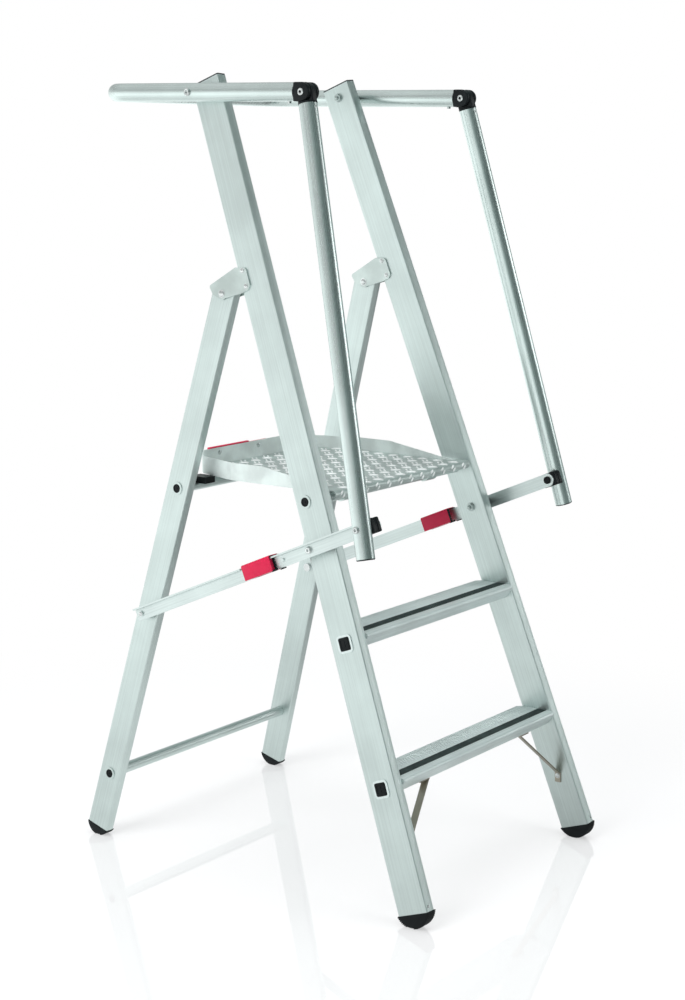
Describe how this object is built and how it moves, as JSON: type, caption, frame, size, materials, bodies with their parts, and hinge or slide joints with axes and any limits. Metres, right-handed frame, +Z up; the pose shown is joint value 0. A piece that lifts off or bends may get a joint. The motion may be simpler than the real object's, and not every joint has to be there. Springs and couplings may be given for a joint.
{
  "type": "podium step",
  "caption": "Folding aluminium podium step with ribbed treads, a tilting tread-plate platform, hinged rear legs, locking stays and a guard rail with hanging gate tubes.",
  "frame": {"origin": "on the floor, at the middle of the bounding box", "axes": "+Z up, +Y from the treads towards the rear legs, +X to the right of a climber"},
  "size_m": [0.6752, 0.8092, 1.4423],
  "materials": {
    "aluminium": "satin",
    "plate": "satin",
    "steel": "bright",
    "brace_steel": "dull",
    "black_plastic": "matte",
    "red_plastic": "satin",
    "grip_rubber": "matte"
  },
  "bodies": {
    "front_frame": {"left_stile": "aluminium", "right_stile": "aluminium", "stile_caps": "black_plastic", "front_feet": "black_plastic", "lower_tread": "aluminium", "upper_tread": "aluminium", "grip_strips": "grip_rubber", "tread_plugs": "black_plastic", "pivot_tube": "aluminium", "pivot_plugs": "black_plastic", "left_hinge_plates": "plate", "right_hinge_plates": "plate", "hinge_rivets": "steel", "leg_pins": "steel", "left_brace": "brace_steel", "right_brace": "brace_steel", "small_rivets": "steel", "stay_spacers": "black_plastic", "stay_bolts": "steel", "rail_spacers": "black_plastic", "rail_bolts": "steel"},
    "rear_frame": {"left_leg": "aluminium", "right_leg": "aluminium", "upper_cross_tube": "aluminium", "lower_cross_bar": "aluminium", "rear_feet": "black_plastic", "leg_plugs": "black_plastic", "leg_spacers": "black_plastic", "leg_bolts": "steel"},
    "platform": {"platform_deck": "plate", "toe_board": "plate", "hinge_brackets": "plate", "platform_catches": "black_plastic", "platform_handle": "red_plastic", "handle_rivets": "steel"},
    "rail": {"guard_rail": "aluminium", "rail_knuckles": "black_plastic", "knuckle_bolts": "steel", "rail_studs": "steel"},
    "left_front_stay": {"left_front_bar": "aluminium", "left_cap_nut": "black_plastic"},
    "left_rear_stay": {"left_rear_bar": "aluminium"},
    "left_lock": {"left_sleeve": "red_plastic", "left_insert": "black_plastic"},
    "left_gate": {"left_gate_tube": "aluminium", "left_gate_knuckle": "black_plastic", "left_saddle": "black_plastic", "left_gate_cap": "black_plastic", "left_gate_screw": "steel"},
    "right_front_stay": {"right_front_bar": "aluminium", "right_cap_nut": "black_plastic"},
    "right_rear_stay": {"right_rear_bar": "aluminium"},
    "right_lock": {"right_sleeve": "red_plastic", "right_insert": "black_plastic"},
    "right_gate": {"right_gate_tube": "aluminium", "right_gate_knuckle": "black_plastic", "right_saddle": "black_plastic", "right_gate_cap": "black_plastic", "right_gate_screw": "steel"}
  },
  "joints": [
    {"name": "leg_fold", "type": "hinge", "parent": "front_frame", "child": "rear_frame", "pos_m": [0, 0.08909, 1.0575], "axis": [-1, 0, 0], "range_deg": [0, 32]},
    {"name": "platform_tilt", "type": "hinge", "parent": "front_frame", "child": "platform", "pos_m": [0, -0.11212, 0.7063], "axis": [1, 0, 0], "range_deg": [0, 68]},
    {"name": "rail_rock", "type": "hinge", "parent": "front_frame", "child": "rail", "pos_m": [0, 0.13605, 1.408], "axis": [1, 0, 0], "range_deg": [0, 54.16]},
    {"name": "left_front_stay_turn", "type": "hinge", "parent": "front_frame", "child": "left_front_stay", "pos_m": [-0.27898, -0.14946, 0.632], "axis": [1, 0, 0], "range_deg": [0, 84.17]},
    {"name": "left_rear_stay_turn", "type": "hinge", "parent": "left_front_stay", "child": "left_rear_stay", "pos_m": [-0.26798, -0.01711, 0.57525], "axis": [-1, 0, 0], "range_deg": [0, 152.35]},
    {"name": "left_lock_slide", "type": "slide", "parent": "left_front_stay", "child": "left_lock", "axis": [0, -0.9191, 0.3941], "range_m": [0, 0.012]},
    {"name": "left_gate_turn", "type": "hinge", "parent": "rail", "child": "left_gate", "pos_m": [-0.24099, -0.11495, 1.404], "axis": [-1, 0, 0], "range_deg": [0, 57.58]},
    {"name": "right_front_stay_turn", "type": "hinge", "parent": "front_frame", "child": "right_front_stay", "pos_m": [0.27898, -0.14946, 0.632], "axis": [1, 0, 0], "range_deg": [0, 84.17]},
    {"name": "right_rear_stay_turn", "type": "hinge", "parent": "right_front_stay", "child": "right_rear_stay", "pos_m": [0.26798, -0.01711, 0.57525], "axis": [-1, 0, 0], "range_deg": [0, 152.35]},
    {"name": "right_lock_slide", "type": "slide", "parent": "right_front_stay", "child": "right_lock", "axis": [0, -0.9191, 0.3941], "range_m": [0, 0.012]},
    {"name": "right_gate_turn", "type": "hinge", "parent": "rail", "child": "right_gate", "pos_m": [0.24099, -0.11495, 1.404], "axis": [-1, 0, 0], "range_deg": [0, 57.58]}
  ],
  "couplings": [
    {"joint": "platform_tilt", "follows": "leg_fold", "ratio": 2.125},
    {"joint": "rail_rock", "follows": "leg_fold", "ratio": 1.6924},
    {"joint": "left_front_stay_turn", "follows": "leg_fold", "ratio": 2.6301},
    {"joint": "left_rear_stay_turn", "follows": "leg_fold", "ratio": 4.761},
    {"joint": "left_gate_turn", "follows": "leg_fold", "ratio": 1.7994},
    {"joint": "right_front_stay_turn", "follows": "leg_fold", "ratio": 2.6301},
    {"joint": "right_rear_stay_turn", "follows": "leg_fold", "ratio": 4.761},
    {"joint": "right_gate_turn", "follows": "leg_fold", "ratio": 1.7994}
  ]
}
